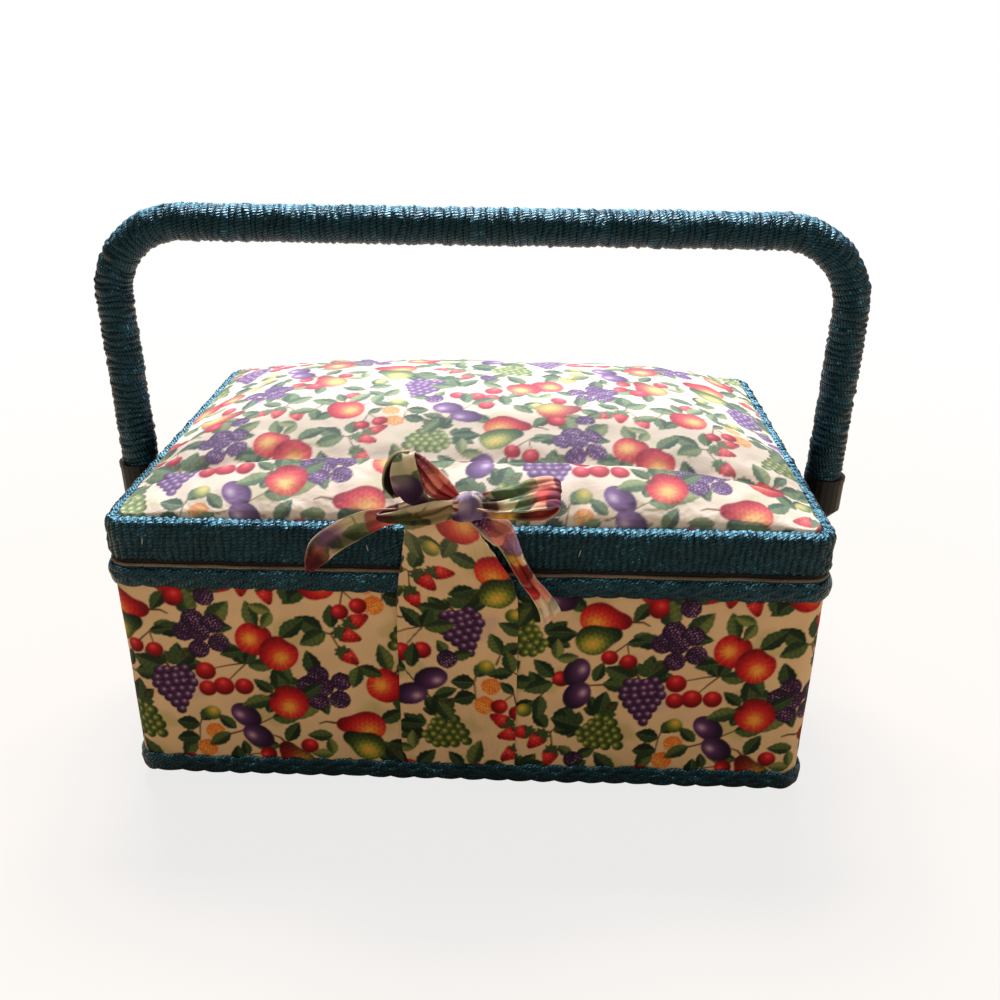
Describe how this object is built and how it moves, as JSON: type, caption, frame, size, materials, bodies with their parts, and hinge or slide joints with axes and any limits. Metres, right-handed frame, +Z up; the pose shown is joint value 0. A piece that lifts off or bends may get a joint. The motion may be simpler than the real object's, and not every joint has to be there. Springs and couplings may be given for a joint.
{
  "type": "sewing basket",
  "caption": "Cloth-covered sewing basket with a padded hinged lid, a wound swing handle, a bow-tied closing strap and a sliding tray.",
  "frame": {"origin": "centre of the basket's bounding box on the surface that its feet stand on", "axes": "+X to the basket's right, +Y from the front with the strap towards the hinges at the back, +Z up"},
  "size_m": [0.35, 0.2175, 0.2343],
  "materials": {
    "printed_cloth": "cream cotton with a printed fruit pattern",
    "teal_cord": "dark teal shiny cord, wound or braided",
    "board": "pressed board, uncoated",
    "lining_cloth": "plain cream lining",
    "tan_edging": "tan woven edging",
    "black_plastic": "satin black",
    "tray_plastic": "smooth off-white moulding",
    "steel": "nickel-plated",
    "brass": "plated brass",
    "core_rod": "bent cane",
    "hook_tape": "hook-and-loop tape"
  },
  "bodies": {
    "basket": {"body_shell": "board", "body_cover": "printed_cloth", "body_lining": "lining_cloth", "base_panel": "lining_cloth", "rim_edging": "tan_edging", "upper_braid": "teal_cord", "lower_trim": "teal_cord", "foot_front_left": "black_plastic", "foot_front_right": "black_plastic", "foot_back_left": "black_plastic", "foot_back_right": "black_plastic", "foot_screw_front_left": "steel", "foot_screw_front_right": "steel", "foot_screw_back_left": "steel", "foot_screw_back_right": "steel", "handle_ear_left": "black_plastic", "handle_ear_right": "black_plastic", "handle_rivet_left": "steel", "handle_rivet_right": "steel", "rivet_washer_left": "steel", "rivet_washer_right": "steel", "hinge_leaf_body_left": "brass", "hinge_leaf_body_right": "brass", "hinge_pin_left": "brass", "hinge_pin_right": "brass", "tray_ledge_left": "board", "tray_ledge_right": "board", "strap_lower": "printed_cloth"},
    "lid": {"lid_frame": "board", "lid_band": "teal_cord", "lid_board": "board", "lid_cushion": "printed_cloth", "lid_lining": "lining_cloth", "lid_pocket": "lining_cloth", "pin_cushion": "printed_cloth", "hinge_leaf_lid_left": "brass", "hinge_leaf_lid_right": "brass", "closure_patch_lid": "hook_tape"},
    "handle": {"handle_core": "core_rod", "handle_wrap": "teal_cord", "handle_socket_left": "black_plastic", "handle_socket_right": "black_plastic"},
    "strap": {"strap_flap": "printed_cloth", "bow_knot": "printed_cloth", "bow_loop_left": "printed_cloth", "bow_loop_right": "printed_cloth", "bow_loop_top": "printed_cloth", "bow_tail_left": "printed_cloth", "bow_tail_right": "printed_cloth", "closure_patch_strap": "hook_tape"},
    "tray": {"sewing_tray": "tray_plastic"}
  },
  "joints": [
    {"name": "lid_hinge", "type": "hinge", "parent": "basket", "child": "lid", "pos_m": [0, 0.10655, 0.11085], "axis": [-1, 0, 0], "range_deg": [0, 100]},
    {"name": "handle_swing", "type": "hinge", "parent": "basket", "child": "handle", "pos_m": [0, 0.00395, 0.085], "axis": [-1, 0, 0], "range_deg": [0, 115]},
    {"name": "strap_fold", "type": "hinge", "parent": "basket", "child": "strap", "pos_m": [0, -0.09655, 0.08], "axis": [1, 0, 0], "range_deg": [0, 110]},
    {"name": "tray_slide", "type": "slide", "parent": "basket", "child": "tray", "axis": [0, -1, 0], "range_m": [0, 0.08]}
  ],
  "couplings": [
    {"joint": "handle_swing", "follows": "lid_hinge", "ratio": 1.15}
  ]
}
